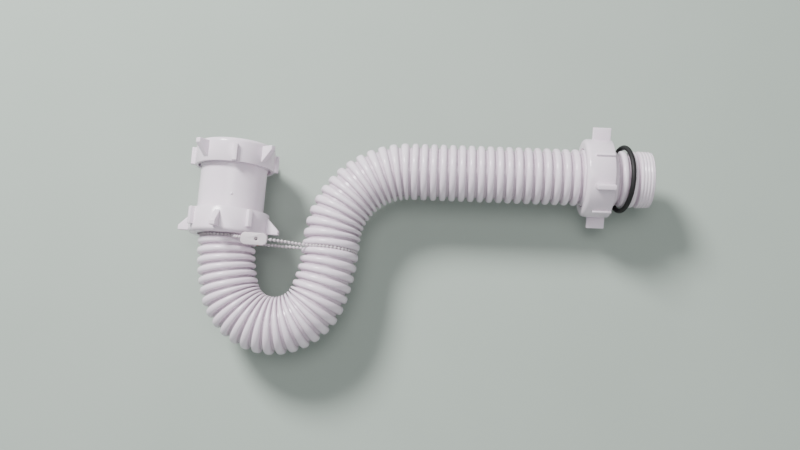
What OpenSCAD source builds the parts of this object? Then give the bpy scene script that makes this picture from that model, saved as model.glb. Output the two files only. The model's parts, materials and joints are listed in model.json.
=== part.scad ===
/* [Pipe] */
// Outside diameter over the ridges and of both plain ends
pipe_d = 38.1; // [36:0.1:38.3]
// Height of a ridge over the groove beside it
ridge_h = 3.2; // [2.4:0.1:3.6]
// Thickness of the blown wall
wall = 1; // [0.8:0.1:1.2]
// Length of the plain inlet end above the neck
inlet_cuff_l = 25.7; // [18:0.1:34]
// Length of the plain outlet end
outlet_cuff_l = 10; // [8:0.5:20]

/* [Route of the pipe] */
// Number of ridges on the leg under the lower nut
leg_ridges = 6; // [4:1:8]
// Spacing of the ridges on the leg
leg_pitch = 5.85; // [5.5:0.05:6.5]
// Bend of the leg in degrees
leg_turn = 18; // [10:1:22]
// Number of ridges round the bottom of the U
u_ridges = 15; // [14:1:17]
// Spacing of the ridges round the U
u_pitch = 5.18; // [5:0.02:5.6]
// Bend of the U in degrees
u_turn = 145; // [136:1:148]
// Number of ridges on the riser
riser_ridges = 6; // [5:1:8]
// Spacing of the ridges on the riser
riser_pitch = 6.3; // [5.8:0.05:6.6]
// Bend of the riser in degrees
riser_turn = 17; // [10:1:20]
// Number of ridges round the elbow
elbow_ridges = 13; // [12:1:15]
// Spacing of the ridges round the elbow
elbow_pitch = 5.98; // [5.8:0.02:6.4]
// Bend of the elbow, back the other way, in degrees
elbow_turn = 88; // [80:1:92]
// Number of ridges on the straight run
run_ridges = 24; // [20:1:28]
// Spacing of the ridges on the straight run
run_pitch = 6.3; // [5.9:0.05:6.6]

/* [Coupling] */
// Length of the coupling tube from mouth to mouth
coupling_l = 53; // [48:0.5:60]
// Outside diameter of the bare tube
coupling_d = 43.6; // [43.2:0.1:44.4]
// Gap between the pipe and the coupling's bore, on the radius
bore_clearance = 0.35; // [0.3:0.05:0.5]
// Length of the threaded zone at each end
thread_l = 11.5; // [10:0.5:13]
// Height of the thread over the bare tube
thread_h = 1.4; // [1:0.1:1.6]
// Depth of the cone that each washer seats in
seat_l = 4; // [3:0.5:5]
// Widening of that cone on the radius
seat_flare = 2; // [1.6:0.1:2.2]
// Height of the stop ring inside the coupling
stop_h = 1; // [0.6:0.1:1.4]
// Thickness of the stop ring along the coupling
stop_t = 1.5; // [1:0.1:2]

/* [Washers] */
// Gap between a washer and the pipe, on the radius
washer_clearance = 0.1; // [0.05:0.01:0.1]
// Gap between a washer and the cone or face that it seats on
seat_gap = 0.3; // [0.3:0.05:0.4]
// Thickness of the washer's head outside the cone
washer_head = 1.3; // [1:0.1:1.6]
// Depth of the washer's taper inside the cone
washer_taper = 3.5; // [2.5:0.1:3.8]

/* [Slip nuts] */
// Height of the two nuts on the coupling
nut_h = 16; // [15:0.5:18]
// Outside diameter of a nut's body
nut_d = 52.4; // [51.6:0.1:54]
// Gap between the thread and the nut, on the radius
thread_clearance = 0.3; // [0.3:0.05:0.5]
// Thickness of the nut's closed end
nut_end_t = 2.6; // [2:0.1:3]
// Gap between the pipe and the hole in the closed end, on the radius
nut_hole_clearance = 0.65; // [0.5:0.05:0.8]
// Rounding of the closed end's edge
nut_edge_r = 2.8; // [1.5:0.1:3.2]
// Reach of the wings from the nut's axis
wing_r = 34.2; // [31:0.1:36]
// Thickness of a wing
wing_t = 3.8; // [2.5:0.1:5]
// Reach of the ribs from the nut's axis
rib_r = 29; // [28:0.1:30.5]
// Thickness of a rib
rib_t = 3; // [2:0.1:4]
// Number of wings, with one rib between each pair
wings = 4; // [3:1:6]
// Angle of the upper nut's first wing
upper_nut_angle = 56; // [0:1:90]
// Angle of the lower nut's first wing
lower_nut_angle = -5; // [-45:1:45]

/* [Outlet] */
// Length of the outlet nut
outlet_nut_h = 18.3; // [17:0.1:20]
// Distance from the outlet's end back to the nut's closed end
outlet_nut_back = 46; // [44:0.5:56]
// Distance from the outlet nut's open rim to its lugs
lug_gap = 0.8; // [0.6:0.1:5]
// Axial length of the lugs on the outlet nut
lug_l = 12; // [10:0.5:13]
// Thickness of the long lugs on the outlet nut
lug_t = 3; // [2:0.1:4]
// Angle of the outlet nut's first long lug
outlet_nut_angle = 22; // [0:1:90]
// Distance from the outlet's end back to the rubber ring
ring_back = 19; // [16:0.5:22]
// Diameter of the rubber ring's section
ring_t = 3.3; // [3:0.1:3.6]
// Gap between the ridges and the leaning ring
ring_clearance = 0.3; // [0.3:0.05:0.5]
// Lean of the ring in degrees
ring_lean = 10; // [4:1:12]

/* [Bead tie] */
// Diameter of the tie's beads
tie_d = 2.2; // [1.8:0.1:2.2]
// Length of the tie's head
head_l = 18; // [14:1:20]
// Width of the tie's head
head_w = 9; // [7:0.5:9]
// Thickness of the tie's head
head_t = 2; // [1.6:0.1:2.4]
// Height of the head over the pipe's axis
head_z = 26; // [24:0.5:28]

/* [Hidden] */
$fn = 72;

// Radii of the blown pipe
crest_r = pipe_d / 2;
root_r = crest_r - ridge_h;
bore_r = root_r - wall;

// The coupling stands along Y with its middle at the origin
half = coupling_l / 2;
coupling_bore_r = crest_r + bore_clearance;
seat_r = coupling_bore_r + seat_flare;
thread_r = coupling_d / 2 + thread_h;
nut_cavity_r = thread_r + thread_clearance;
nut_r = nut_d / 2;
nut_hole_r = crest_r + nut_hole_clearance;
washer_rim_r = thread_r - 0.6;
washer_top = seat_gap + washer_head;
nut_face = washer_top + seat_gap + nut_end_t;

// Where the pipe leaves the lower nut, measured down from the origin
neck_gap = 1.9;
neck_top = half + washer_top + seat_gap + 0.8;
first_ridge = half + nut_face + neck_gap - 0.7;
tie_y = half + nut_face + 1;

// Each stretch is its length and its bend to the left
stretches = [
    [leg_ridges * leg_pitch, leg_turn],
    [u_ridges * u_pitch, u_turn],
    [riser_ridges * riser_pitch, riser_turn],
    [elbow_ridges * elbow_pitch, -elbow_turn]
];
counts = [leg_ridges, u_ridges, riser_ridges, elbow_ridges];

// A place on the route is [x, y, heading]
function onward(p, l, turn) =
    turn == 0
    ? [p[0] + l * cos(p[2]), p[1] + l * sin(p[2]), p[2]]
    : let (r = l / (turn * PI / 180))
      [p[0] + r * (sin(p[2] + turn) - sin(p[2])),
       p[1] - r * (cos(p[2] + turn) - cos(p[2])),
       p[2] + turn];
route_start = [0, -first_ridge, -90];
function joint_at(i) = i == 0 ? route_start : onward(joint_at(i - 1), stretches[i - 1][0], stretches[i - 1][1]);
function on_stretch(i, share) = onward(joint_at(i), share * stretches[i][0], share * stretches[i][1]);
run_start = joint_at(4);
run_l = run_ridges * run_pitch + outlet_cuff_l;

// Ridge forms as shares of the pitch and of the ridge's height
coarse_out = [[0.16, 0], [0.33, 1], [0.67, 1], [0.84, 0]];
coarse_in = [[0.11, 0], [0.5, 1], [0.89, 0]];
fine_out = [[0.15, 0], [0.19, 0.4], [0.25, 0.76], [0.34, 0.95], [0.44, 1], [0.56, 1], [0.66, 0.95], [0.75, 0.76], [0.81, 0.4], [0.85, 0]];
fine_in = [[0.08, 0], [0.36, 0.9], [0.64, 0.9], [0.92, 0]];

// One ring of points square to the route
sides = 18;
function ring_at(p, r) = [
    for (k = [0 : sides - 1])
        let (a = 360 * k / sides)
        [p[0] + r * cos(a) * sin(p[2]), p[1] - r * cos(a) * cos(p[2]), r * sin(a)]
];

// Closed band of rings: out along the outer wall and back along the inner wall
module band(rings) {
    n = len(rings);
    pts = [for (g = rings) for (q = g) q];
    quads = [
        for (i = [0 : n - 1]) for (k = [0 : sides - 1])
            [i * sides + k, i * sides + (k + 1) % sides,
             ((i + 1) % n) * sides + (k + 1) % sides, ((i + 1) % n) * sides + k]
    ];
    polyhedron(points = pts, faces = quads, convexity = 10);
}

// The four bent stretches, blown in one piece
tuck = 1;
tuck_out = root_r - 0.05;
tuck_in = bore_r / cos(180 / sides) + 0.05;
module bends() {
    last = joint_at(4);
    outer = [for (i = [0 : 3]) for (j = [0 : counts[i] - 1]) for (q = coarse_out)
        ring_at(on_stretch(i, (j + q[0]) / counts[i]), root_r + q[1] * ridge_h)];
    inner = [for (i = [3 : -1 : 0]) for (j = [counts[i] - 1 : -1 : 0]) for (m = [2 : -1 : 0])
        ring_at(on_stretch(i, (j + coarse_in[m][0]) / counts[i]), bore_r + coarse_in[m][1] * ridge_h)];
    band(concat(
        [ring_at([0, -first_ridge + tuck, -90], tuck_out)],
        [ring_at(route_start, tuck_out)],
        outer,
        [ring_at(last, tuck_out)],
        [ring_at(onward(last, tuck, 0), tuck_out)],
        [ring_at(onward(last, tuck, 0), tuck_in)],
        [ring_at(last, tuck_in)],
        inner,
        [ring_at(route_start, tuck_in)],
        [ring_at([0, -first_ridge + tuck, -90], tuck_in)]
    ));
}

// The straight run with its plain end, turned as one profile
module run_of_pipe() {
    outer = [for (j = [0 : run_ridges - 1]) for (q = fine_out)
        [root_r + q[1] * ridge_h, (j + q[0]) * run_pitch]];
    inner = [for (j = [run_ridges - 1 : -1 : 0]) for (m = [3 : -1 : 0])
        [bore_r + fine_in[m][1] * ridge_h, (j + fine_in[m][0]) * run_pitch]];
    cuff = run_ridges * run_pitch;
    lip = 0.9;
    translate([run_start[0], run_start[1], 0])
        rotate([0, 0, run_start[2]])
            rotate([0, 90, 0])
                rotate_extrude()
                    polygon(concat(
                        [[root_r, 0]],
                        outer,
                        [[root_r, cuff],
                         [crest_r, cuff + 0.8],
                         [crest_r, run_l - lip],
                         [crest_r - 0.3, run_l - 0.3],
                         [crest_r - lip, run_l],
                         [crest_r - wall - 0.3, run_l],
                         [crest_r - wall - 0.3, cuff + 1.2],
                         [bore_r, cuff + 0.2]],
                        inner,
                        [[bore_r, 0]]
                    ));
}

// The plain inlet end and the neck, up inside the coupling
module inlet_end() {
    top = neck_top - inlet_cuff_l;
    rotate([90, 0, 0])
        rotate_extrude()
            polygon([
                [crest_r - wall, top],
                [crest_r - 0.4, top],
                [crest_r, top + 0.6],
                [crest_r, neck_top],
                [root_r, neck_top + 1],
                [root_r, first_ridge],
                [bore_r, first_ridge],
                [bore_r, neck_top + 0.4],
                [crest_r - wall, neck_top - 0.6]
            ]);
}

module corrugated_pipe() {
    color([0.86, 0.84, 0.87]) {
        bends();
        run_of_pipe();
        inlet_end();
    }
}

// Tube with a threaded zone and a washer cone at each end, and a stop ring under its middle
module coupling_body() {
    tube_r = coupling_d / 2;
    ramp = 0.6;
    color([0.88, 0.86, 0.89])
        rotate([90, 0, 0])
            rotate_extrude()
                polygon([
                    [coupling_bore_r, -half + seat_l],
                    [seat_r, -half],
                    [thread_r - ramp, -half],
                    [thread_r, -half + ramp],
                    [thread_r, -half + thread_l],
                    [tube_r, -half + thread_l + ramp],
                    [tube_r, half - thread_l - ramp],
                    [thread_r, half - thread_l],
                    [thread_r, half - ramp],
                    [thread_r - ramp, half],
                    [seat_r, half],
                    [coupling_bore_r, half - seat_l],
                    [coupling_bore_r, stop_t + 0.2],
                    [coupling_bore_r - stop_h, stop_t],
                    [coupling_bore_r - stop_h, 0],
                    [coupling_bore_r, 0]
                ]);
}

// Tapered washer, small end down, head up, standing on the mouth's plane
module washer() {
    inner_r = crest_r + washer_clearance;
    slope = seat_flare / seat_l;
    rotate_extrude()
        polygon([
            [inner_r, -washer_taper],
            [seat_r - seat_gap - slope * washer_taper, -washer_taper],
            [seat_r - seat_gap, 0],
            [seat_r - seat_gap, seat_gap],
            [washer_rim_r, seat_gap],
            [washer_rim_r, washer_top],
            [inner_r, washer_top]
        ]);
}

module upper_washer() {
    color([0.80, 0.82, 0.84])
        translate([0, half, 0])
            rotate([-90, 0, 0])
                washer();
}

module lower_washer() {
    color([0.80, 0.82, 0.84])
        translate([0, -half, 0])
            rotate([90, 0, 0])
                washer();
}

// Nut shell along Z: open rim at 0, closed end at h
module nut_shell(h, cavity_r) {
    arc = [for (a = [0 : 15 : 90]) [nut_r - nut_edge_r * (1 - cos(a)), h - nut_edge_r * (1 - sin(a))]];
    rotate_extrude()
        polygon(concat(
            [[cavity_r, 0], [nut_r - 0.4, 0], [nut_r, 0.4]],
            arc,
            [[nut_hole_r, h], [nut_hole_r, h - nut_end_t], [cavity_r, h - nut_end_t]]
        ));
}

// Flat plate that stands out from the nut's wall along a half plane through the axis
module plate(angle, t, outline) {
    rotate([0, 0, angle])
        rotate([90, 0, 0])
            translate([0, 0, -t / 2])
                linear_extrude(t)
                    polygon(outline);
}

// Nut of the coupling: sloping wings with upright ribs between them
module coupling_nut(angle) {
    inset = nut_cavity_r + 0.4;
    wing_base = nut_h - nut_end_t;
    wing_outline = [[inset, 0.6], [nut_r, 2.5], [wing_r, wing_base - 3], [wing_r, wing_base], [inset, wing_base]];
    rib_outline = [[inset, 0.2], [rib_r, 0.2], [rib_r, nut_h - 4.3], [inset, nut_h - 4.3]];
    nut_shell(nut_h, nut_cavity_r);
    for (k = [0 : wings - 1]) {
        plate(angle + 360 * k / wings, wing_t, wing_outline);
        plate(angle + 360 * (k + 0.5) / wings, rib_t, rib_outline);
    }
}

module upper_slip_nut() {
    color([0.85, 0.83, 0.87])
        translate([0, half + nut_face - nut_h, 0])
            rotate([-90, 0, 0])
                coupling_nut(upper_nut_angle - 90);
}

module lower_slip_nut() {
    color([0.85, 0.83, 0.87])
        translate([0, -half - nut_face + nut_h, 0])
            rotate([90, 0, 0])
                coupling_nut(90 - lower_nut_angle);
}

// Places a thing that is drawn along Z on the run, a distance back from its end
module on_run(back) {
    p = onward(run_start, run_l - back, 0);
    translate([p[0], p[1], 0])
        rotate([0, 0, p[2]])
            rotate([0, 90, 0])
                children();
}

// Loose nut on the outlet: square-ended lugs, long and short in turn
module outlet_slip_nut() {
    inset = nut_cavity_r + 0.4;
    lug_end = lug_gap + lug_l;
    long_outline = [[inset, lug_gap], [wing_r, lug_gap], [wing_r, lug_end], [inset, lug_end]];
    short_outline = [[inset, 0.2], [rib_r, 0.2], [rib_r, lug_end], [inset, lug_end]];
    color([0.85, 0.83, 0.87])
        on_run(outlet_nut_back - outlet_nut_h)
            rotate([180, 0, 0]) {
                nut_shell(outlet_nut_h, nut_cavity_r);
                for (k = [0 : wings - 1]) {
                    plate(outlet_nut_angle + 360 * k / wings, lug_t, long_outline);
                    plate(outlet_nut_angle + 360 * (k + 0.5) / wings, rib_t, short_outline);
                }
            }
}

// Loose rubber ring that hangs a little askew on the ridges
module outlet_o_ring() {
    ring_r = (crest_r + ring_clearance + ring_t / 2) / cos(ring_lean);
    color([0.07, 0.07, 0.07])
        on_run(ring_back)
            rotate([0, ring_lean, 0])
                rotate_extrude()
                    translate([ring_r, 0])
                        circle(d = ring_t);
}

// Loop of the tie: round the neck, through the head, over the riser and back
tie_turn_r = root_r + tie_d / 2 + 0.1;
groove = on_stretch(2, (riser_ridges - 1) / riser_ridges);
function neck_point(a) = [tie_turn_r * cos(a), -tie_y, tie_turn_r * sin(a)];
function groove_point(a) = [groove[0] + tie_turn_r * cos(a) * sin(groove[2]), groove[1] - tie_turn_r * cos(a) * cos(groove[2]), tie_turn_r * sin(a)];
function bezier(a, b, c, d, t) = pow(1 - t, 3) * a + 3 * t * pow(1 - t, 2) * b + 3 * t * t * (1 - t) * c + pow(t, 3) * d;
tie_clear_y = tie_y + 1;
head_in = [14, -tie_clear_y - 1, head_z - head_t / 2];
head_out = [32, -tie_clear_y - 1.5, head_z - head_t / 2];
tie_points = concat(
    [for (a = [300 : -15 : 75]) neck_point(a)],
    [for (t = [0.25 : 0.25 : 0.75]) bezier(neck_point(75), neck_point(75) + [4, 0, -1], head_in - [6, 0, 2], head_in, t)],
    [head_in, (head_in + head_out) / 2, head_out],
    [for (t = [0.2 : 0.2 : 0.8]) bezier(head_out, head_out + [8, 0, -1], groove_point(130) - [6, 0, 4], groove_point(130), t)],
    [for (a = [130 : -15 : -140]) groove_point(a)],
    [for (t = [0.125 : 0.125 : 0.875])
        bezier(groove_point(-140), groove_point(-140) + [-14, 0, 12], neck_point(-60) + [16, -3, 8], neck_point(-60) , t)]
);
tie_sides = 8;
function direction(v) = v / norm(v);
module tie_cord() {
    n = len(tie_points);
    pts = [
        for (i = [0 : n - 1])
            let (t = direction(tie_points[(i + 1) % n] - tie_points[(i + n - 1) % n]))
            let (u = direction([0, 1, 0] - t[1] * t))
            let (v = cross(t, u))
            for (k = [0 : tie_sides - 1])
                tie_points[i] + tie_d / 2 * (cos(360 * k / tie_sides) * u + sin(360 * k / tie_sides) * v)
    ];
    quads = [
        for (i = [0 : n - 1]) for (k = [0 : tie_sides - 1])
            [i * tie_sides + k, ((i + 1) % n) * tie_sides + k,
             ((i + 1) % n) * tie_sides + (k + 1) % tie_sides, i * tie_sides + (k + 1) % tie_sides]
    ];
    polyhedron(points = pts, faces = quads, convexity = 10);
}

module bead_tie() {
    color([0.80, 0.76, 0.78]) {
        tie_cord();
        translate([(head_in[0] + head_out[0]) / 2, head_in[1] - head_w / 2 + 3.2, head_z])
            difference() {
                cube([head_l, head_w, head_t], center = true);
                translate([2, 1.2, 0])
                    cube([3, 2, head_t + 1], center = true);
            }
    }
}

coupling_body();
upper_slip_nut();
upper_washer();
lower_slip_nut();
lower_washer();
corrugated_pipe();
outlet_slip_nut();
outlet_o_ring();
bead_tie();
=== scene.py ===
import json
import math

import bmesh
import bpy
import numpy as np
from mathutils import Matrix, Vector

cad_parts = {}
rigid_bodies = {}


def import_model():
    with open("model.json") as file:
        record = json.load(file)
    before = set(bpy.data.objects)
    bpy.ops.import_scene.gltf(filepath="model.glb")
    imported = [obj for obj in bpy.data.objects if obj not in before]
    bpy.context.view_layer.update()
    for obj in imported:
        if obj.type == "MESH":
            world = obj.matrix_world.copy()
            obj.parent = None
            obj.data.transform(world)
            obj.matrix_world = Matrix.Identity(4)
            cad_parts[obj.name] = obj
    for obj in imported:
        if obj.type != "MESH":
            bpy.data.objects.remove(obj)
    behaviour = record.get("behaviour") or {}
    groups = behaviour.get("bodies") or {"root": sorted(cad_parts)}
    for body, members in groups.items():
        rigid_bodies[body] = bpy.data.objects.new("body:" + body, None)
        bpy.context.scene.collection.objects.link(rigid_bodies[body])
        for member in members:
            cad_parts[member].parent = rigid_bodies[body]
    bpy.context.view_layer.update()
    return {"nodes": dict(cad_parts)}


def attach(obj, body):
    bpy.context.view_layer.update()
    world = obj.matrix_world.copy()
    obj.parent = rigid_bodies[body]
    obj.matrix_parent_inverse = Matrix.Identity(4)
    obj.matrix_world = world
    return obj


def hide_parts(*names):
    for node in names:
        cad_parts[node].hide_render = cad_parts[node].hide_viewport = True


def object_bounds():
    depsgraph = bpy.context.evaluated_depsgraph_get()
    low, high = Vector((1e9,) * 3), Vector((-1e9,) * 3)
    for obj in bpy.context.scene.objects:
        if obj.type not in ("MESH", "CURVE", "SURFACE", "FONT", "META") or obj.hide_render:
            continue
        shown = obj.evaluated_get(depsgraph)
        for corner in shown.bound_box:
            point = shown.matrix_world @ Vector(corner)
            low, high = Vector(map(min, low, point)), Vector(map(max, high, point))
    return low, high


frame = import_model()
MM = 0.001


# Camera: The trap is looked down on from above and a little below its middle, as it lies on the table.
# The camera leans 9 degrees and stands 0.58 m over the pipe's axis.
lens = bpy.data.cameras.new("view from above")
lens.sensor_width = 36
lens.lens = 39.69
lens.shift_x = -0.03125
lens.clip_start = 0.01
camera = bpy.data.objects.new("view from above", lens)
camera.location = (0.1376, -0.1080, 0.582)
camera.rotation_euler = (math.radians(9.2), 0, math.radians(4.1))
bpy.context.scene.collection.objects.link(camera)
bpy.context.scene.camera = camera


# Coupling tube: The inlet coupling is a short injection-moulded tube of white plastic, threaded at both
# ends, with a cone in each mouth for its washer and a stop ring inside. It stands on the Y axis.
COUPLING_HALF = 26.5
TUBE_R = 21.8
BORE_R = 19.4
THREAD_CREST_R = 23.2
THREAD_DEPTH = 0.9
THREAD_L = 11.5
THREAD_PITCH = 2.2


def softened(outline, reach, cuts=3):
    """The closed outline of (radius, place) pairs, with each corner rounded over at most that reach."""
    done = []
    count = len(outline)
    for i in range(count):
        here = np.array(outline[i], float)
        before = np.array(outline[i - 1], float) - here
        after = np.array(outline[(i + 1) % count], float) - here
        a = min(reach, np.linalg.norm(before) * 0.45)
        b = min(reach, np.linalg.norm(after) * 0.45)
        start = here + before / np.linalg.norm(before) * a
        end = here + after / np.linalg.norm(after) * b
        for k in range(cuts + 1):
            t = k / cuts
            done.append(tuple((1 - t) ** 2 * start + 2 * t * (1 - t) * here + t * t * end))
    return done


def turned(name, outline, steps=144):
    """A solid turned about Y from a closed outline of (radius, place along Y) pairs in millimetres."""
    shape = bmesh.new()
    rings = []
    for radius, place in outline:
        ring = []
        for k in range(steps):
            a = 2 * math.pi * k / steps
            ring.append(shape.verts.new((radius * math.cos(a) * MM, place * MM, radius * math.sin(a) * MM)))
        rings.append(ring)
    for i in range(len(rings)):
        one = rings[i]
        other = rings[(i + 1) % len(rings)]
        for k in range(steps):
            shape.faces.new((one[k], one[(k + 1) % steps], other[(k + 1) % steps], other[k]))
    bmesh.ops.recalc_face_normals(shape, faces=shape.faces)
    mesh = bpy.data.meshes.new(name)
    shape.to_mesh(mesh)
    shape.free()
    mesh.shade_smooth()
    mesh.set_sharp_from_angle(angle=math.radians(50))
    piece = bpy.data.objects.new(name, mesh)
    bpy.context.scene.collection.objects.link(piece)
    return piece


def made_plain(piece, name):
    """The result of the piece's modifiers as a mesh object of its own."""
    bpy.context.view_layer.update()
    mesh = bpy.data.meshes.new_from_object(piece.evaluated_get(bpy.context.evaluated_depsgraph_get()))
    mesh.name = name
    bpy.data.objects.remove(piece)
    plain = bpy.data.objects.new(name, mesh)
    bpy.context.scene.collection.objects.link(plain)
    return plain


def joined(name, pieces):
    """One object made of several meshes that already lie in place."""
    for other in bpy.context.scene.objects:
        other.select_set(False)
    for piece in pieces:
        piece.select_set(True)
    bpy.context.view_layer.objects.active = pieces[0]
    bpy.ops.object.join()
    whole = pieces[0]
    whole.name = name
    whole.data.name = name
    return whole


def set_input(modifier, label, value):
    """Gives a Geometry Nodes modifier its value for the input of that label."""
    for item in modifier.node_group.interface.items_tree:
        if item.item_type == "SOCKET" and item.in_out == "INPUT" and item.name == label:
            modifier[item.identifier] = value


# Mottle group: the slight unevenness that moulded and blown plastic has in colour and gloss, with faint
# scuffs.
mottle = bpy.data.node_groups.new("plastic unevenness", "ShaderNodeTree")
mottle.interface.new_socket("Colour", in_out="INPUT", socket_type="NodeSocketColor")
mottle.interface.new_socket("Deep colour", in_out="INPUT", socket_type="NodeSocketColor")
mottle.interface.new_socket("Roughness", in_out="INPUT", socket_type="NodeSocketFloat")
mottle.interface.new_socket("Scuffs", in_out="INPUT", socket_type="NodeSocketFloat")
mottle.interface.new_socket("Colour", in_out="OUTPUT", socket_type="NodeSocketColor")
mottle.interface.new_socket("Roughness", in_out="OUTPUT", socket_type="NodeSocketFloat")
mottle.interface.new_socket("Height", in_out="OUTPUT", socket_type="NodeSocketFloat")
m_in = mottle.nodes.new("NodeGroupInput")
m_out = mottle.nodes.new("NodeGroupOutput")
m_place = mottle.nodes.new("ShaderNodeTexCoord")
m_cloud = mottle.nodes.new("ShaderNodeTexNoise")
m_cloud.inputs["Scale"].default_value = 45
m_cloud.inputs["Detail"].default_value = 3
m_fine = mottle.nodes.new("ShaderNodeTexNoise")
m_fine.inputs["Scale"].default_value = 900
m_fine.inputs["Detail"].default_value = 2
m_stretch = mottle.nodes.new("ShaderNodeMapping")
m_stretch.inputs["Scale"].default_value = (1, 0.25, 1)
m_scratch = mottle.nodes.new("ShaderNodeTexNoise")
m_scratch.inputs["Scale"].default_value = 260
m_scratch.inputs["Detail"].default_value = 6
m_scratch.inputs["Roughness"].default_value = 0.7
m_pick = mottle.nodes.new("ShaderNodeMapRange")
m_pick.inputs["From Min"].default_value = 0.60
m_pick.inputs["From Max"].default_value = 0.74
m_spread = mottle.nodes.new("ShaderNodeMapRange")
m_spread.inputs["From Min"].default_value = 0.35
m_spread.inputs["From Max"].default_value = 0.75
m_scuff = mottle.nodes.new("ShaderNodeMath")
m_scuff.operation = "MULTIPLY"
m_colour = mottle.nodes.new("ShaderNodeMix")
m_colour.data_type = "RGBA"
m_dull = mottle.nodes.new("ShaderNodeMath")
m_dull.operation = "MULTIPLY_ADD"
m_dull.inputs[1].default_value = 0.12
m_more = mottle.nodes.new("ShaderNodeMath")
m_more.operation = "MAXIMUM"
m_rough = mottle.nodes.new("ShaderNodeMath")
m_rough.operation = "MULTIPLY_ADD"
m_rough.inputs[1].default_value = 0.25
wire = mottle.links.new
for noise in (m_cloud, m_fine):
    wire(m_place.outputs["Object"], noise.inputs["Vector"])
wire(m_place.outputs["Object"], m_stretch.inputs["Vector"])
wire(m_stretch.outputs["Vector"], m_scratch.inputs["Vector"])
wire(m_scratch.outputs["Fac"], m_pick.inputs["Value"])
wire(m_pick.outputs["Result"], m_scuff.inputs[0])
wire(m_in.outputs["Scuffs"], m_scuff.inputs[1])
wire(m_cloud.outputs["Fac"], m_spread.inputs["Value"])
wire(m_spread.outputs["Result"], m_more.inputs[0])
wire(m_scuff.outputs["Value"], m_more.inputs[1])
wire(m_more.outputs["Value"], m_colour.inputs["Factor"])
wire(m_in.outputs["Colour"], m_colour.inputs["A"])
wire(m_in.outputs["Deep colour"], m_colour.inputs["B"])
wire(m_colour.outputs["Result"], m_out.inputs["Colour"])
wire(m_cloud.outputs["Fac"], m_dull.inputs[0])
wire(m_in.outputs["Roughness"], m_dull.inputs[2])
wire(m_scuff.outputs["Value"], m_rough.inputs[0])
wire(m_dull.outputs["Value"], m_rough.inputs[2])
wire(m_rough.outputs["Value"], m_out.inputs["Roughness"])
wire(m_fine.outputs["Fac"], m_out.inputs["Height"])


def plastic(name, colour, deep, roughness, scuffs, bump, soft=0.0):
    """A plastic made of the unevenness group and a Principled BSDF."""
    made = bpy.data.materials.new(name)
    made.use_nodes = True
    nodes = made.node_tree.nodes
    links = made.node_tree.links
    shader = nodes["Principled BSDF"]
    uneven = nodes.new("ShaderNodeGroup")
    uneven.node_tree = mottle
    uneven.inputs["Colour"].default_value = (*colour, 1)
    uneven.inputs["Deep colour"].default_value = (*deep, 1)
    uneven.inputs["Roughness"].default_value = roughness
    uneven.inputs["Scuffs"].default_value = scuffs
    relief = nodes.new("ShaderNodeBump")
    relief.inputs["Strength"].default_value = bump
    relief.inputs["Distance"].default_value = 0.0002
    links.new(uneven.outputs["Colour"], shader.inputs["Base Color"])
    links.new(uneven.outputs["Roughness"], shader.inputs["Roughness"])
    links.new(uneven.outputs["Height"], relief.inputs["Height"])
    links.new(relief.outputs["Normal"], shader.inputs["Normal"])
    shader.inputs["IOR"].default_value = 1.49
    shader.inputs["Subsurface Weight"].default_value = soft
    shader.inputs["Subsurface Radius"].default_value = (1.0, 0.8, 0.8)
    shader.inputs["Subsurface Scale"].default_value = 0.002
    return made


tube_plastic = plastic("coupling plastic", (0.90, 0.80, 0.88), (0.84, 0.74, 0.83), 0.16, 0.35, 0.12, 0.1)

# Thread tree: sweeps a small diamond along a helix about Y.
thread = bpy.data.node_groups.new("screw thread", "GeometryNodeTree")
thread.is_modifier = True
thread.interface.new_socket("Geometry", in_out="OUTPUT", socket_type="NodeSocketGeometry")
thread.interface.new_socket("Geometry", in_out="INPUT", socket_type="NodeSocketGeometry")
thread.interface.new_socket("Radius", in_out="INPUT", socket_type="NodeSocketFloat")
thread.interface.new_socket("Turns", in_out="INPUT", socket_type="NodeSocketFloat")
thread.interface.new_socket("Length", in_out="INPUT", socket_type="NodeSocketFloat")
thread.interface.new_socket("Start", in_out="INPUT", socket_type="NodeSocketFloat")
thread.interface.new_socket("Ridge height", in_out="INPUT", socket_type="NodeSocketFloat")
thread.interface.new_socket("Material", in_out="INPUT", socket_type="NodeSocketMaterial")
t_in = thread.nodes.new("NodeGroupInput")
t_out = thread.nodes.new("NodeGroupOutput")
t_helix = thread.nodes.new("GeometryNodeCurveSpiral")
t_helix.inputs["Resolution"].default_value = 72
t_face = thread.nodes.new("GeometryNodeSetCurveNormal")
t_face.mode = "Z_UP"
t_form = thread.nodes.new("GeometryNodeCurvePrimitiveCircle")
t_form.inputs["Resolution"].default_value = 4
t_sweep = thread.nodes.new("GeometryNodeCurveToMesh")
t_sweep.inputs["Fill Caps"].default_value = True
t_shift = thread.nodes.new("ShaderNodeCombineXYZ")
t_turn = thread.nodes.new("GeometryNodeTransform")
t_turn.inputs["Rotation"].default_value = (math.radians(-90), 0, 0)
t_finish = thread.nodes.new("GeometryNodeSetMaterial")
t_real = thread.nodes.new("GeometryNodeRealizeInstances")
wire = thread.links.new
wire(t_in.outputs["Turns"], t_helix.inputs["Rotations"])
wire(t_in.outputs["Radius"], t_helix.inputs["Start Radius"])
wire(t_in.outputs["Radius"], t_helix.inputs["End Radius"])
wire(t_in.outputs["Length"], t_helix.inputs["Height"])
wire(t_in.outputs["Ridge height"], t_form.inputs["Radius"])
wire(t_helix.outputs["Curve"], t_face.inputs["Curve"])
wire(t_face.outputs["Curve"], t_sweep.inputs["Curve"])
wire(t_form.outputs["Curve"], t_sweep.inputs["Profile Curve"])
wire(t_sweep.outputs["Mesh"], t_turn.inputs["Geometry"])
wire(t_in.outputs["Start"], t_shift.inputs["Y"])
wire(t_shift.outputs["Vector"], t_turn.inputs["Translation"])
wire(t_turn.outputs["Geometry"], t_real.inputs["Geometry"])
wire(t_real.outputs["Geometry"], t_finish.inputs["Geometry"])
wire(t_in.outputs["Material"], t_finish.inputs["Material"])
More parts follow.
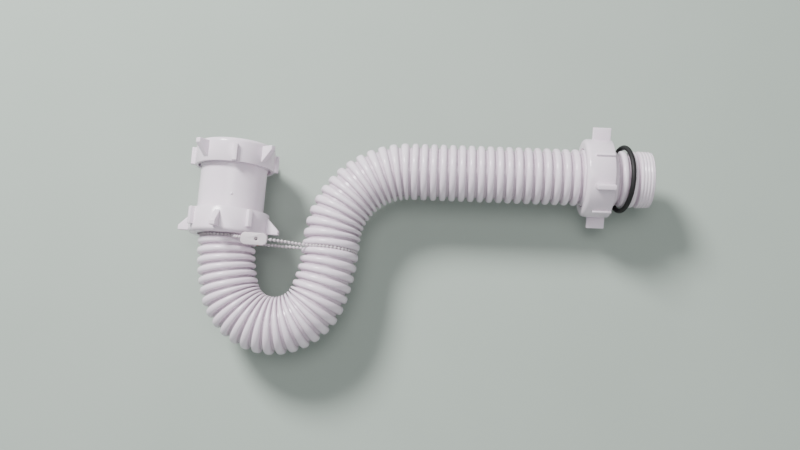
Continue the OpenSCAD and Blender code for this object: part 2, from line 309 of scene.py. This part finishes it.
wire(t_finish.outputs["Geometry"], t_out.inputs["Geometry"])


def threaded(name, radius, start, length, height, finish):
    """A helical thread of right hand about the Y axis; all sizes in millimetres."""
    base = bpy.data.objects.new(name, bpy.data.meshes.new(name))
    bpy.context.scene.collection.objects.link(base)
    cut = base.modifiers.new("thread", "NODES")
    cut.node_group = thread
    set_input(cut, "Radius", radius * MM)
    set_input(cut, "Turns", length / THREAD_PITCH)
    set_input(cut, "Length", length * MM)
    set_input(cut, "Start", start * MM)
    set_input(cut, "Ridge height", height * MM)
    set_input(cut, "Material", finish)
    return made_plain(base, name)


core = THREAD_CREST_R - THREAD_DEPTH
tube_outline = [
    (BORE_R, COUPLING_HALF - 4), (BORE_R + 2, COUPLING_HALF),
    (core - 0.4, COUPLING_HALF), (core, COUPLING_HALF - 0.8),
    (core, COUPLING_HALF - THREAD_L), (TUBE_R, COUPLING_HALF - THREAD_L - 0.6),
    (TUBE_R, -COUPLING_HALF + THREAD_L + 0.6),
    (core, -COUPLING_HALF + THREAD_L), (core, -COUPLING_HALF + 0.8),
    (core - 0.4, -COUPLING_HALF), (BORE_R + 2, -COUPLING_HALF),
    (BORE_R, -COUPLING_HALF + 4), (BORE_R, -1.5),
    (BORE_R - 1, -1.4), (BORE_R - 1, -0.05), (BORE_R, 0),
]
tube = turned("coupling_tube", softened(tube_outline, 0.35))
tube.data.materials.append(tube_plastic)
tube_threads = [
    threaded("upper thread", core, COUPLING_HALF - 10.8, 9.6, THREAD_DEPTH, tube_plastic),
    threaded("lower thread", core, -COUPLING_HALF + 1.2, 9.6, THREAD_DEPTH, tube_plastic),
]
# The small stub where the plastic was fed into the mould
stub_shape = bmesh.new()
bmesh.ops.create_icosphere(stub_shape, subdivisions=3, radius=0.9 * MM)
stub_mesh = bpy.data.meshes.new("gate stub")
stub_shape.to_mesh(stub_mesh)
stub_shape.free()
stub_mesh.shade_smooth()
stub_mesh.materials.append(tube_plastic)
stub = bpy.data.objects.new("gate stub", stub_mesh)
bpy.context.scene.collection.objects.link(stub)
for v in stub_mesh.vertices:
    v.co = (v.co.x + 4.6 * MM, v.co.y - 5.7 * MM, v.co.z * 0.8 + 21.2 * MM)
tube = joined("coupling_tube", [tube, stub] + tube_threads)
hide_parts("coupling_body")
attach(tube, "coupling")


# Washers: Two tapered sealing washers of soft natural plastic sit in the coupling's cones under the
# nuts' closed ends. Their CAD rings have the right shape and only take a finish.
washer_plastic = plastic("washer plastic", (0.70, 0.71, 0.72), (0.60, 0.62, 0.64), 0.38, 0.2, 0.1, 0.2)
for washer in ("upper_washer", "lower_washer"):
    rings = frame["nodes"][washer].data.materials
    rings.clear()
    rings.append(washer_plastic)


# Slip nuts: Three injection-moulded nuts of glossy white plastic: a round closed end, an inner thread,
# and wings and ribs round the wall to grip. The two on the coupling have sloping wings; the one on the
# outlet has square-ended lugs.
NUT_R = 26.2
NUT_CAVITY_R = 23.5
GRIP_FOOT_R = 24.2
NUT_HOLE_R = 19.7
NUT_END = 2.6
WING_R = 34.2
RIB_R = 29.0
nut_plastic = plastic("nut plastic", (0.90, 0.80, 0.88), (0.84, 0.74, 0.83), 0.16, 0.3, 0.1, 0.1)

# Grip tree: repeats one wing and one rib round the Y axis.
grips = bpy.data.node_groups.new("grips round a nut", "GeometryNodeTree")
grips.is_modifier = True
grips.interface.new_socket("Geometry", in_out="OUTPUT", socket_type="NodeSocketGeometry")
grips.interface.new_socket("Geometry", in_out="INPUT", socket_type="NodeSocketGeometry")
grips.interface.new_socket("Copies", in_out="INPUT", socket_type="NodeSocketInt")
grips.interface.new_socket("First angle", in_out="INPUT", socket_type="NodeSocketFloat")
grips.interface.new_socket("Material", in_out="INPUT", socket_type="NodeSocketMaterial")
g_in = grips.nodes.new("NodeGroupInput")
g_out = grips.nodes.new("NodeGroupOutput")
g_line = grips.nodes.new("GeometryNodeMeshLine")
g_line.inputs["Offset"].default_value = (0, 0, 0)
g_index = grips.nodes.new("GeometryNodeInputIndex")
g_share = grips.nodes.new("ShaderNodeMath")
g_share.operation = "DIVIDE"
g_angle = grips.nodes.new("ShaderNodeMath")
g_angle.operation = "MULTIPLY_ADD"
g_angle.inputs[1].default_value = 2 * math.pi
g_spin = grips.nodes.new("ShaderNodeCombineXYZ")
g_copy = grips.nodes.new("GeometryNodeInstanceOnPoints")
g_real = grips.nodes.new("GeometryNodeRealizeInstances")
g_finish = grips.nodes.new("GeometryNodeSetMaterial")
wire = grips.links.new
wire(g_in.outputs["Copies"], g_line.inputs["Count"])
wire(g_index.outputs["Index"], g_share.inputs[0])
wire(g_in.outputs["Copies"], g_share.inputs[1])
wire(g_share.outputs["Value"], g_angle.inputs[0])
wire(g_in.outputs["First angle"], g_angle.inputs[2])
wire(g_angle.outputs["Value"], g_spin.inputs["Y"])
wire(g_line.outputs["Mesh"], g_copy.inputs["Points"])
wire(g_in.outputs["Geometry"], g_copy.inputs["Instance"])
wire(g_spin.outputs["Vector"], g_copy.inputs["Rotation"])
wire(g_copy.outputs["Instances"], g_real.inputs["Geometry"])
wire(g_real.outputs["Geometry"], g_finish.inputs["Geometry"])
wire(g_in.outputs["Material"], g_finish.inputs["Material"])
wire(g_finish.outputs["Geometry"], g_out.inputs["Geometry"])


def plates(name, forms):
    """Flat plates through the Y axis; a form is (degrees from +Z towards +X, thickness, outline)."""
    shape = bmesh.new()
    for angle, thick, outline in forms:
        a = math.radians(angle)
        out = np.array((math.sin(a), 0, math.cos(a)))
        side = np.array((math.cos(a), 0, -math.sin(a)))
        walls = []
        for shift in (-thick / 2, thick / 2):
            wall = []
            for radius, place in outline:
                point = (out * radius + side * shift) * MM
                wall.append(shape.verts.new((point[0], place * MM, point[2])))
            walls.append(wall)
        shape.faces.new(walls[0])
        shape.faces.new(walls[1][::-1])
        for k in range(len(outline)):
            n = (k + 1) % len(outline)
            shape.faces.new((walls[0][k], walls[0][n], walls[1][n], walls[1][k]))
    bmesh.ops.recalc_face_normals(shape, faces=shape.faces)
    mesh = bpy.data.meshes.new(name)
    shape.to_mesh(mesh)
    shape.free()
    piece = bpy.data.objects.new(name, mesh)
    bpy.context.scene.collection.objects.link(piece)
    return piece


def grip_ring(name, forms, first_angle, copies=4):
    """The plates, with their edges eased, repeated round the nut."""
    base = plates(name, forms)
    ease = base.modifiers.new("eased edges", "BEVEL")
    ease.width = 0.35 * MM
    ease.segments = 3
    around = base.modifiers.new("round the nut", "NODES")
    around.node_group = grips
    set_input(around, "Copies", copies)
    set_input(around, "First angle", math.radians(first_angle))
    set_input(around, "Material", nut_plastic)
    ring = made_plain(base, name)
    ring.data.shade_smooth()
    ring.data.set_sharp_from_angle(angle=math.radians(35))
    return ring


def nut_wall(name, height, away):
    """The nut's turned shell: open rim at Y 0 and closed end at the height; away is +1 or -1 along Y."""
    edge = 2.8
    outline = [(NUT_CAVITY_R + 0.6, 0), (NUT_R - 0.3, 0), (NUT_R, 0.4)]
    for k in range(9):
        a = math.radians(90 * k / 8)
        outline.append((NUT_R - edge * (1 - math.cos(a)), height - edge * (1 - math.sin(a))))
    outline += [(NUT_HOLE_R + 0.3, height), (NUT_HOLE_R, height - 0.4), (NUT_HOLE_R, height - NUT_END)]
    outline += [(NUT_CAVITY_R, height - NUT_END), (NUT_CAVITY_R + 0.6, height - NUT_END - 0.8)]
    shell = turned(name, [(r, away * y) for r, y in outline])
    shell.data.materials.append(nut_plastic)
    return shell


def moved(piece, shift):
    """Moves the mesh itself along the shift, in millimetres."""
    for v in piece.data.vertices:
        v.co = (v.co[0] + shift[0] * MM, v.co[1] + shift[1] * MM, v.co[2] + shift[2] * MM)
    return piece


NUT_H = 16.0
NUT_FACE = 4.5
wing_base = NUT_H - NUT_END
wing_form = [
    (GRIP_FOOT_R, 0.6), (NUT_R, 2.5), (WING_R, wing_base - 3), (WING_R, wing_base), (GRIP_FOOT_R, wing_base),
]
rib_form = [(GRIP_FOOT_R, 0.2), (RIB_R, 0.2), (RIB_R, NUT_H - 4.3), (GRIP_FOOT_R, NUT_H - 4.3)]
for label, node, body, away, first_wing in (
    ("upper_nut", "upper_slip_nut", "upper_nut", 1, 56.0),
    ("lower_nut", "lower_slip_nut", "lower_nut", -1, -5.0),
):
    forms = [
        (0, 3.8, [(r, away * y) for r, y in wing_form]),
        (45, 3.0, [(r, away * y) for r, y in rib_form]),
    ]
    shell = nut_wall(label, NUT_H, away)
    grip = grip_ring(label + " grips", forms, first_wing)
    thread_start = 1.2 if away > 0 else -10.2
    inner = threaded(label + " thread", NUT_CAVITY_R + 0.65, thread_start, 9.0, 0.6, nut_plastic)
    nut = joined(label, [shell, grip, inner])
    moved(nut, (0, away * (COUPLING_HALF + NUT_FACE - NUT_H), 0))
    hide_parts(node)
    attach(nut, body)


# Ribbed pipe: The trap's pipe is blown in one piece from white plastic: plain ends and a bellows of 64
# rounded ridges between them, bent by hand into a U and an elbow. The ridges pinch together inside each
# bend and open outside it.
CREST_R = 19.05
RIDGE_H = 2.8
WALL = 1.0
FIRST_RIDGE = 32.2
stretches = [(6, 5.85, 18), (15, 5.18, 145), (6, 6.3, 17), (13, 5.98, -88), (24, 6.3, 0)]
CUFF_L = 10.0
ridge_steps = (0, 0.12, 0.13, 0.16, 0.22, 0.32, 0.5, 0.68, 0.78, 0.84, 0.87, 0.88)


def onward(place, length, bend):
    """The place (x, y, heading) after a stretch that bends to the left by that many degrees."""
    x, y, h = place
    a = math.radians(h)
    if bend == 0:
        return (x + length * math.cos(a), y + length * math.sin(a), h)
    b = math.radians(h + bend)
    r = length / math.radians(bend)
    return (x + r * (math.sin(b) - math.sin(a)), y - r * (math.cos(b) - math.cos(a)), h + bend)


# Each stop on the route is (x, y, where it is within a ridge, least height as a share of the ridge's).
route = []
inlet_end = [
    (-3.5, 0.80), (-3.7, 0.93), (-4.1, 1), (-12, 1), (-20, 1), (-28.6, 1),
    (-29.2, 0.96), (-29.6, 0.7), (-30, 0.25), (-30.4, 0.04), (-30.9, 0), (-31.6, 0),
]
for y, level in inlet_end:
    route.append((0, y, 0, level))
place = (0, -FIRST_RIDGE, -90)
for count, pitch, bend in stretches:
    for j in range(count):
        for t in ridge_steps:
            x, y, _ = onward(place, (j + t) * pitch, bend * (j + t) / count)
            route.append((x, y, t, 0))
    place = onward(place, count * pitch, bend)
RUN_HEADING = place[2]
# The plain outlet end has four fine rings, each a little narrower than the last, and a rounded lip.
cuff = [(0, 0), (0.2, 0.1), (0.5, 0.75), (0.8, 0.96)]
for k in range(4):
    top = 1 - 0.03 * k
    dip = top - 0.17
    start = 2.05 * k
    cuff += [(start + 1.1, top), (start + 2.4, top), (start + 2.6, dip), (start + 2.9, dip)]
cuff += [(9.2, 0.85), (9.5, 0.80), (9.8, 0.68), (10.0, 0.48)]
for along, level in cuff:
    x, y, _ = onward(place, along, 0)
    route.append((x, y, 0, level))
run_end = onward(place, CUFF_L, 0)

# Pipe tree: sweeps a circle along the route, its radius swelling at each ridge.
bellows = bpy.data.node_groups.new("ridges along a pipe", "GeometryNodeTree")
bellows.is_modifier = True
bellows.interface.new_socket("Geometry", in_out="OUTPUT", socket_type="NodeSocketGeometry")
bellows.interface.new_socket("Geometry", in_out="INPUT", socket_type="NodeSocketGeometry")
bellows.interface.new_socket("Groove radius", in_out="INPUT", socket_type="NodeSocketFloat")
bellows.interface.new_socket("Ridge height", in_out="INPUT", socket_type="NodeSocketFloat")
bellows.interface.new_socket("Ridge share", in_out="INPUT", socket_type="NodeSocketFloat")
bellows.interface.new_socket("Sides", in_out="INPUT", socket_type="NodeSocketInt")
bellows.interface.new_socket("Material", in_out="INPUT", socket_type="NodeSocketMaterial")
b_in = bellows.nodes.new("NodeGroupInput")
b_out = bellows.nodes.new("NodeGroupOutput")
b_path = bellows.nodes.new("GeometryNodeMeshToCurve")
b_within = bellows.nodes.new("GeometryNodeInputNamedAttribute")
b_within.inputs["Name"].default_value = "within_ridge"
b_level = bellows.nodes.new("GeometryNodeInputNamedAttribute")
b_level.inputs["Name"].default_value = "least_height"
b_centre = bellows.nodes.new("ShaderNodeMath")
b_centre.operation = "SUBTRACT"
b_centre.inputs[1].default_value = 0.5
b_off = bellows.nodes.new("ShaderNodeMath")
b_off.operation = "ABSOLUTE"
b_half = bellows.nodes.new("ShaderNodeMath")
b_half.operation = "DIVIDE"
b_double = bellows.nodes.new("ShaderNodeMath")
b_double.operation = "MULTIPLY"
b_double.inputs[1].default_value = 2
b_fall = bellows.nodes.new("ShaderNodeMath")
b_fall.operation = "POWER"
b_fall.inputs[1].default_value = 3.0
b_rest = bellows.nodes.new("ShaderNodeMath")
b_rest.operation = "SUBTRACT"
b_rest.inputs[0].default_value = 1
b_floor = bellows.nodes.new("ShaderNodeMath")
b_floor.operation = "MAXIMUM"
b_floor.inputs[1].default_value = 0
b_round = bellows.nodes.new("ShaderNodeMath")
b_round.operation = "POWER"
b_round.inputs[1].default_value = 0.55
b_least = bellows.nodes.new("ShaderNodeMath")
b_least.operation = "MAXIMUM"
b_radius = bellows.nodes.new("ShaderNodeMath")
b_radius.operation = "MULTIPLY_ADD"
b_keep = bellows.nodes.new("GeometryNodeStoreNamedAttribute")
b_keep.data_type = "FLOAT"
b_keep.domain = "POINT"
b_keep.inputs["Name"].default_value = "ridge_rise"
b_ring = bellows.nodes.new("GeometryNodeCurvePrimitiveCircle")
b_ring.inputs["Radius"].default_value = 1
b_sweep = bellows.nodes.new("GeometryNodeCurveToMesh")
b_real = bellows.nodes.new("GeometryNodeRealizeInstances")
b_finish = bellows.nodes.new("GeometryNodeSetMaterial")
wire = bellows.links.new
wire(b_in.outputs["Geometry"], b_path.inputs["Mesh"])
wire(b_within.outputs["Attribute"], b_centre.inputs[0])
wire(b_centre.outputs["Value"], b_off.inputs[0])
wire(b_off.outputs["Value"], b_double.inputs[0])
wire(b_double.outputs["Value"], b_half.inputs[0])
wire(b_in.outputs["Ridge share"], b_half.inputs[1])
wire(b_half.outputs["Value"], b_fall.inputs[0])
wire(b_fall.outputs["Value"], b_rest.inputs[1])
wire(b_rest.outputs["Value"], b_floor.inputs[0])
wire(b_floor.outputs["Value"], b_round.inputs[0])
wire(b_round.outputs["Value"], b_least.inputs[0])
wire(b_level.outputs["Attribute"], b_least.inputs[1])
wire(b_least.outputs["Value"], b_radius.inputs[0])
wire(b_in.outputs["Ridge height"], b_radius.inputs[1])
wire(b_in.outputs["Groove radius"], b_radius.inputs[2])
wire(b_path.outputs["Curve"], b_keep.inputs["Geometry"])
wire(b_least.outputs["Value"], b_keep.inputs["Value"])
wire(b_in.outputs["Sides"], b_ring.inputs["Resolution"])
wire(b_keep.outputs["Geometry"], b_sweep.inputs["Curve"])
wire(b_ring.outputs["Curve"], b_sweep.inputs["Profile Curve"])
wire(b_radius.outputs["Value"], b_sweep.inputs["Scale"])
wire(b_sweep.outputs["Mesh"], b_real.inputs["Geometry"])
wire(b_real.outputs["Geometry"], b_finish.inputs["Geometry"])
wire(b_in.outputs["Material"], b_finish.inputs["Material"])
wire(b_finish.outputs["Geometry"], b_out.inputs["Geometry"])

pipe_plastic = plastic("blown pipe plastic", (0.90, 0.80, 0.88), (0.85, 0.74, 0.83), 0.20, 0.3, 0.1, 0.15)
nodes = pipe_plastic.node_tree.nodes
links = pipe_plastic.node_tree.links
# Painted shade: the pipe's colour darkens towards the bottom of each groove, where shade falls between the
# ridges
rise = nodes.new("ShaderNodeAttribute")
rise.attribute_name = "ridge_rise"
groove_shade_ramp = nodes.new("ShaderNodeMapRange")
groove_shade_ramp.inputs["From Min"].default_value = 0.0
groove_shade_ramp.inputs["From Max"].default_value = 0.9
groove_shade_ramp.inputs["To Min"].default_value = 0.65
groove_shade_ramp.inputs["To Max"].default_value = 0.0
shade = nodes.new("ShaderNodeMix")
shade.data_type = "RGBA"
shade.inputs["B"].default_value = (0.52, 0.42, 0.50, 1)
links.new(rise.outputs["Fac"], groove_shade_ramp.inputs["Value"])
links.new(groove_shade_ramp.outputs["Result"], shade.inputs["Factor"])
links.new(nodes["Group"].outputs["Colour"], shade.inputs["A"])
links.new(shade.outputs["Result"], nodes["Principled BSDF"].inputs["Base Color"])

line = bpy.data.meshes.new("pipe route")
links_on = [(i, i + 1) for i in range(len(route) - 1)]
line.from_pydata([(x * MM, y * MM, 0) for x, y, _, _ in route], links_on, [])
line.attributes.new("within_ridge", "FLOAT", "POINT").data.foreach_set("value", [r[2] for r in route])
line.attributes.new("least_height", "FLOAT", "POINT").data.foreach_set("value", [r[3] for r in route])
base = bpy.data.objects.new("pipe route", line)
bpy.context.scene.collection.objects.link(base)
sweep = base.modifiers.new("bellows", "NODES")
sweep.node_group = bellows
set_input(sweep, "Groove radius", (CREST_R - RIDGE_H) * MM)
set_input(sweep, "Ridge height", RIDGE_H * MM)
set_input(sweep, "Ridge share", 0.76)
set_input(sweep, "Sides", 60)
set_input(sweep, "Material", pipe_plastic)
pipe = made_plain(base, "ribbed_pipe")
pipe.data.shade_smooth()
skin = bmesh.new()
skin.from_mesh(pipe.data)
bmesh.ops.remove_doubles(skin, verts=skin.verts, dist=1e-6)
bmesh.ops.recalc_face_normals(skin, faces=skin.faces)
probe = skin.faces[0]
centre = probe.calc_center_median()
if probe.normal.x * centre.x + probe.normal.z * centre.z < 0:
    bmesh.ops.reverse_faces(skin, faces=skin.faces)
skin.to_mesh(pipe.data)
skin.free()
wall = pipe.modifiers.new("wall", "SOLIDIFY")
wall.thickness = WALL * MM
wall.offset = -1
pipe = made_plain(pipe, "ribbed_pipe")
pipe.data.shade_smooth()
pipe.data.set_sharp_from_angle(angle=math.radians(70))
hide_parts("corrugated_pipe")
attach(pipe, "trap")


# Outlet nut: The loose nut that waits on the run for the wall tube, of the same plastic as the others,
# with long and short square-ended lugs in turn.
OUT_NUT_H = 18.3
OUT_NUT_BACK = 46.0
LUG_L = 12.0
heading = math.radians(RUN_HEADING)


def on_run(piece, back):
    """Turns a piece made about Y to point along the run, and sets it that far back from the pipe's end."""
    spin = heading - math.pi / 2
    x0 = (run_end[0] - back * math.cos(heading)) * MM
    y0 = (run_end[1] - back * math.sin(heading)) * MM
    for v in piece.data.vertices:
        x, y, z = v.co
        across = x * math.cos(spin) - y * math.sin(spin)
        along = x * math.sin(spin) + y * math.cos(spin)
        v.co = (across + x0, along + y0, z)
    return piece


LUG_GAP = 0.8
lug_end = LUG_GAP + LUG_L
lug_forms = []
for angle, thick, reach, rim in ((0, 3.0, WING_R, LUG_GAP), (45, 1.8, RIB_R - 1.2, 0.2)):
    box_form = [(GRIP_FOOT_R, rim), (reach, rim), (reach, lug_end), (GRIP_FOOT_R, lug_end)]
    lug_forms.append((angle, thick, [(r, -y) for r, y in box_form]))
shell = nut_wall("outlet_nut", OUT_NUT_H, -1)
grip = grip_ring("outlet grips", lug_forms, 0)
inner = threaded("outlet thread", NUT_CAVITY_R + 0.65, -12.2, 11.0, 0.6, nut_plastic)
outlet_nut = joined("outlet_nut", [shell, grip, inner])
# The first long lug stands 22 degrees from the top towards the near side
turn = math.radians(-22)
for v in outlet_nut.data.vertices:
    x, y, z = v.co
    v.co = (x * math.cos(turn) - z * math.sin(turn), y, x * math.sin(turn) + z * math.cos(turn))
on_run(outlet_nut, OUT_NUT_BACK - OUT_NUT_H)
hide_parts("outlet_slip_nut")
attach(outlet_nut, "outlet_nut")


# Rubber ring: A round-section ring of black moulded rubber, loose on the ridges between the outlet nut
# and the plain end, leaning a little. Its CAD ring has the right shape and takes the rubber.
rubber = bpy.data.materials.new("black rubber")
rubber.use_nodes = True
nodes = rubber.node_tree.nodes
links = rubber.node_tree.links
place_of = nodes.new("ShaderNodeTexCoord")
bloom = nodes.new("ShaderNodeTexNoise")
bloom.inputs["Scale"].default_value = 320
bloom.inputs["Detail"].default_value = 5
tone = nodes.new("ShaderNodeMix")
tone.data_type = "RGBA"
tone.inputs["A"].default_value = (0.003, 0.003, 0.0035, 1)
tone.inputs["B"].default_value = (0.012, 0.011, 0.012, 1)
dull = nodes.new("ShaderNodeMapRange")
dull.inputs["To Min"].default_value = 0.50
dull.inputs["To Max"].default_value = 0.70
grain = nodes.new("ShaderNodeBump")
grain.inputs["Strength"].default_value = 0.2
grain.inputs["Distance"].default_value = 0.0002
links.new(place_of.outputs["Object"], bloom.inputs["Vector"])
links.new(bloom.outputs["Fac"], tone.inputs["Factor"])
links.new(bloom.outputs["Fac"], dull.inputs["Value"])
links.new(bloom.outputs["Fac"], grain.inputs["Height"])
links.new(tone.outputs["Result"], nodes["Principled BSDF"].inputs["Base Color"])
links.new(dull.outputs["Result"], nodes["Principled BSDF"].inputs["Roughness"])
links.new(grain.outputs["Normal"], nodes["Principled BSDF"].inputs["Normal"])
ring = frame["nodes"]["outlet_o_ring"]
ring.data.materials.clear()
ring.data.materials.append(rubber)


# Bead tie: A moulded beaded tie of clear, slightly milky plastic holds the leg and the riser together.
# Its loop runs round the neck, through the head's hole and round the riser's groove.
TIE_BEAD_R = 1.08
TIE_STRAND_R = 0.45
TIE_TURN_R = 17.05
TIE_Y = 32.0
HEAD_SIZE = (17.0, 8.0, 2.0)
HEAD_AT = (23.0, -34.8, 26.0)
tie_plastic = plastic("milky tie plastic", (0.66, 0.60, 0.63), (0.55, 0.49, 0.52), 0.3, 0.2, 0.1, 0.3)

groove = (0, -FIRST_RIDGE, -90)
for count, pitch, bend in stretches[:2]:
    groove = onward(groove, count * pitch, bend)
groove = onward(groove, 5 * stretches[2][1], stretches[2][2] * 5 / 6)


def at_neck(angle):
    """A place on the tie's turn round the pipe's neck."""
    a = math.radians(angle)
    return np.array((TIE_TURN_R * math.cos(a), -TIE_Y, TIE_TURN_R * math.sin(a)))


def at_groove(angle):
    """A place on the tie's turn round the riser, in its last groove but one."""
    a = math.radians(angle)
    h = math.radians(groove[2])
    out = TIE_TURN_R * math.cos(a)
    up = TIE_TURN_R * math.sin(a)
    return np.array((groove[0] + out * math.sin(h), groove[1] - out * math.cos(h), up))


def swung(a, b, c, d, steps):
    """Points of a Bezier stretch between a and d, without its ends."""
    points = []
    for k in range(1, steps):
        t = k / steps
        points.append((1 - t) ** 3 * a + 3 * t * (1 - t) ** 2 * b + 3 * t * t * (1 - t) * c + t ** 3 * d)
    return points


head_in = np.array((14, -TIE_Y - 2, 25))
head_out = np.array((32, -TIE_Y - 2.5, 25))
loop = [at_neck(a) for a in range(300, 74, -15)]
loop += swung(at_neck(75), at_neck(75) + (4, 0, -1), head_in - (6, 0, 2), head_in, 4)
loop += [head_in, (head_in + head_out) / 2, head_out]
loop += swung(head_out, head_out + (8, 0, -1), at_groove(130) - (6, 0, 4), at_groove(130), 5)
loop += [at_groove(a) for a in range(130, -141, -15)]
loop += swung(at_groove(-140), at_groove(-140) + (-14, 0, 12), at_neck(-60) + (16, -3, 8), at_neck(-60), 8)

# Beads tree: a thin strand along the loop with a bead at every step.
beads = bpy.data.node_groups.new("beads on a strand", "GeometryNodeTree")
beads.is_modifier = True
beads.interface.new_socket("Geometry", in_out="OUTPUT", socket_type="NodeSocketGeometry")
beads.interface.new_socket("Geometry", in_out="INPUT", socket_type="NodeSocketGeometry")
beads.interface.new_socket("Strand radius", in_out="INPUT", socket_type="NodeSocketFloat")
beads.interface.new_socket("Bead radius", in_out="INPUT", socket_type="NodeSocketFloat")
beads.interface.new_socket("Spacing", in_out="INPUT", socket_type="NodeSocketFloat")
beads.interface.new_socket("Material", in_out="INPUT", socket_type="NodeSocketMaterial")
k_in = beads.nodes.new("NodeGroupInput")
k_out = beads.nodes.new("NodeGroupOutput")
k_path = beads.nodes.new("GeometryNodeMeshToCurve")
k_ring = beads.nodes.new("GeometryNodeCurvePrimitiveCircle")
k_ring.inputs["Resolution"].default_value = 12
k_strand = beads.nodes.new("GeometryNodeCurveToMesh")
k_step = beads.nodes.new("GeometryNodeResampleCurve")
k_step.mode = "LENGTH"
k_bead = beads.nodes.new("GeometryNodeMeshIcoSphere")
k_bead.inputs["Subdivisions"].default_value = 3
k_place = beads.nodes.new("GeometryNodeInstanceOnPoints")
k_join = beads.nodes.new("GeometryNodeJoinGeometry")
k_real = beads.nodes.new("GeometryNodeRealizeInstances")
k_finish = beads.nodes.new("GeometryNodeSetMaterial")
wire = beads.links.new
wire(k_in.outputs["Geometry"], k_path.inputs["Mesh"])
wire(k_in.outputs["Strand radius"], k_ring.inputs["Radius"])
wire(k_path.outputs["Curve"], k_strand.inputs["Curve"])
wire(k_ring.outputs["Curve"], k_strand.inputs["Profile Curve"])
wire(k_path.outputs["Curve"], k_step.inputs["Curve"])
wire(k_in.outputs["Spacing"], k_step.inputs["Length"])
wire(k_in.outputs["Bead radius"], k_bead.inputs["Radius"])
wire(k_step.outputs["Curve"], k_place.inputs["Points"])
wire(k_bead.outputs["Mesh"], k_place.inputs["Instance"])
wire(k_place.outputs["Instances"], k_join.inputs["Geometry"])
wire(k_strand.outputs["Mesh"], k_join.inputs["Geometry"])
wire(k_join.outputs["Geometry"], k_real.inputs["Geometry"])
wire(k_real.outputs["Geometry"], k_finish.inputs["Geometry"])
wire(k_in.outputs["Material"], k_finish.inputs["Material"])
wire(k_finish.outputs["Geometry"], k_out.inputs["Geometry"])

strand = bpy.data.meshes.new("tie route")
strand.from_pydata([tuple(q * MM) for q in loop], [(i, (i + 1) % len(loop)) for i in range(len(loop))], [])
cord = bpy.data.objects.new("tie route", strand)
bpy.context.scene.collection.objects.link(cord)
threading = cord.modifiers.new("beads", "NODES")
threading.node_group = beads
set_input(threading, "Strand radius", TIE_STRAND_R * MM)
set_input(threading, "Bead radius", TIE_BEAD_R * MM)
set_input(threading, "Spacing", 2.5 * MM)
set_input(threading, "Material", tie_plastic)
cord = made_plain(cord, "tie strand")

# The head is a flat tab with round corners and a small hole
tab_shape = bmesh.new()
bmesh.ops.create_cube(tab_shape, size=1)
for v in tab_shape.verts:
    v.co = [v.co[k] * HEAD_SIZE[k] * MM for k in range(3)]
upright = [e for e in tab_shape.edges if abs(e.verts[0].co.z - e.verts[1].co.z) > 1e-6]
bmesh.ops.bevel(tab_shape, geom=upright, offset=3.2 * MM, segments=8, profile=0.5, affect="EDGES")
tab_mesh = bpy.data.meshes.new("tie head")
tab_shape.to_mesh(tab_mesh)
tab_shape.free()
tab_mesh.materials.append(tie_plastic)
tab = bpy.data.objects.new("tie head", tab_mesh)
bpy.context.scene.collection.objects.link(tab)
hole_shape = bmesh.new()
hole_r = 1.1 * MM
bmesh.ops.create_cone(hole_shape, cap_ends=True, segments=32, radius1=hole_r, radius2=hole_r, depth=6 * MM)
for v in hole_shape.verts:
    v.co.x += 1.5 * MM
hole_mesh = bpy.data.meshes.new("tie hole")
hole_shape.to_mesh(hole_mesh)
hole_shape.free()
hole = bpy.data.objects.new("tie hole", hole_mesh)
bpy.context.scene.collection.objects.link(hole)
punch = tab.modifiers.new("hole", "BOOLEAN")
punch.object = hole
punch.operation = "DIFFERENCE"
ease = tab.modifiers.new("eased edges", "BEVEL")
ease.width = 0.45 * MM
ease.segments = 3
ease.angle_limit = math.radians(50)
tab = made_plain(tab, "tie head")
bpy.data.objects.remove(hole)
moved(tab, HEAD_AT)
tie = joined("bead_tie_loop", [cord, tab])
tie.data.shade_smooth()
tie.data.set_sharp_from_angle(angle=math.radians(40))
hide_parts("bead_tie")
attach(tie, "trap")


# Floor and light: A plain pale tabletop that the lowest wing rests on, a broad soft light from the
# upper left and a weaker fill.
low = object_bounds()[0][2]
table = bpy.data.meshes.new("tabletop")
table.from_pydata([(-3, -3, low), (3, -3, low), (3, 3, low), (-3, 3, low)], [], [(0, 1, 2, 3)])
floor = bpy.data.objects.new("tabletop", table)
bpy.context.scene.collection.objects.link(floor)
paint = bpy.data.materials.new("pale tabletop")
paint.use_nodes = True
nodes = paint.node_tree.nodes
links = paint.node_tree.links
spot = nodes.new("ShaderNodeTexCoord")
haze = nodes.new("ShaderNodeTexNoise")
haze.inputs["Scale"].default_value = 12
wash = nodes.new("ShaderNodeMix")
wash.data_type = "RGBA"
wash.inputs["A"].default_value = (0.36, 0.42, 0.37, 1)
wash.inputs["B"].default_value = (0.39, 0.45, 0.40, 1)
links.new(spot.outputs["Object"], haze.inputs["Vector"])
links.new(haze.outputs["Fac"], wash.inputs["Factor"])
links.new(wash.outputs["Result"], nodes["Principled BSDF"].inputs["Base Color"])
nodes["Principled BSDF"].inputs["Roughness"].default_value = 0.8
table.materials.append(paint)

for name, spot_at, aim, size, power in (
    ("window", (-0.55, 0.75, 0.95), (0.12, -0.03, 0), 0.4, 34),
    ("fill", (0.9, -0.8, 0.9), (0.12, -0.03, 0), 1.0, 3),
    ("over", (0.1, 0.1, 1.6), (0.12, -0.03, 0), 0.8, 9),
):
    glow = bpy.data.lights.new(name, "AREA")
    glow.shape = "DISK"
    glow.size = size
    glow.energy = power
    lamp = bpy.data.objects.new(name, glow)
    lamp.location = spot_at
    way = np.array(aim) - np.array(spot_at)
    flat = math.hypot(way[0], way[1])
    lamp.rotation_euler = (math.atan2(flat, -way[2]), 0, math.atan2(way[1], way[0]) - math.pi / 2)
    bpy.context.scene.collection.objects.link(lamp)
sky = bpy.data.worlds.new("room")
sky.use_nodes = True
sky.node_tree.nodes["Background"].inputs["Color"].default_value = (0.9, 0.93, 1.0, 1)
sky.node_tree.nodes["Background"].inputs["Strength"].default_value = 0.28
bpy.context.scene.world = sky
